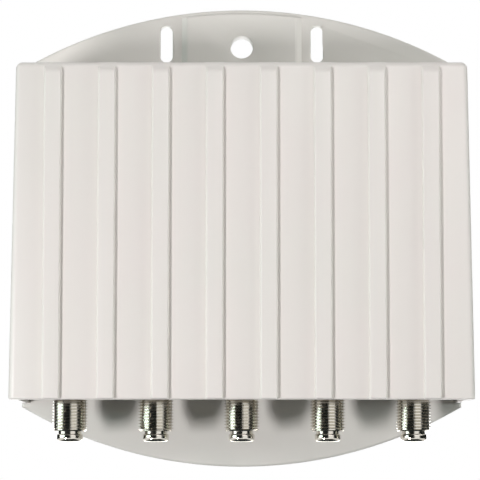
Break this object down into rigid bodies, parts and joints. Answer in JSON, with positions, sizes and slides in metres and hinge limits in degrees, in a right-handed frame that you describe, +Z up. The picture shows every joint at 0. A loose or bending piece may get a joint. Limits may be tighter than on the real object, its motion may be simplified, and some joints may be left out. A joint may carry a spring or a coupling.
{
  "type": "satellite antenna switch",
  "caption": "Antenna switch for a wall or mast: a screened module with coaxial sockets pointing down, on a back plate, under a ribbed weather cover that slides.",
  "frame": {"origin": "centre of the wall screw's hole, on the plate's back plane", "axes": "+X to the right seen from the front, +Y into the wall, +Z up; the sockets point along -Z"},
  "size_m": [0.12, 0.0433, 0.1254],
  "materials": {
    "cover_plastic": "pale warm grey, fine moulded grain",
    "plate_plastic": "pale grey, fine moulded grain",
    "socket_nickel": "nickel plated",
    "case_metal": "die-cast, matt",
    "lid_steel": "tinned sheet",
    "screw_steel": "zinc plated",
    "insulator_white": "satin white",
    "contact_brass": "bright",
    "board_green": "solder resist",
    "shield_tin": "tinned sheet",
    "package_black": "moulded package",
    "resonator_blue": "dipped",
    "can_aluminium": "bright can",
    "coil_copper": "lacquered winding",
    "chip_tan": "ceramic"
  },
  "bodies": {
    "plate": {"back_plate": "plate_plastic", "case_screw_washers": "screw_steel", "case_screws": "screw_steel", "ceramic_resonator": "resonator_blue", "chip_capacitors": "chip_tan", "chip_resistors": "package_black", "circuit_board": "board_green", "feed_coils": "coil_copper", "filter_capacitor": "can_aluminium", "lid_screws": "screw_steel", "microcontroller": "package_black", "module_case": "case_metal", "module_lid": "lid_steel", "pin_diodes": "package_black", "shield_partition": "shield_tin", "socket_body_1": "socket_nickel", "socket_body_2": "socket_nickel", "socket_body_3": "socket_nickel", "socket_body_4": "socket_nickel", "socket_body_5": "socket_nickel", "socket_contact_1": "contact_brass", "socket_contact_2": "contact_brass", "socket_contact_3": "contact_brass", "socket_contact_4": "contact_brass", "socket_contact_5": "contact_brass", "socket_insulator_1": "insulator_white", "socket_insulator_2": "insulator_white", "socket_insulator_3": "insulator_white", "socket_insulator_4": "insulator_white", "socket_insulator_5": "insulator_white", "socket_lock_washers": "screw_steel", "socket_nuts": "socket_nickel", "supply_transistors": "package_black", "voltage_regulator": "package_black"},
    "cover": {"weather_cover": "cover_plastic"}
  },
  "joints": [
    {"name": "cover_slide", "type": "slide", "parent": "plate", "child": "cover", "axis": [0, 0, 1], "range_m": [-0.0178, 0.06]}
  ]
}
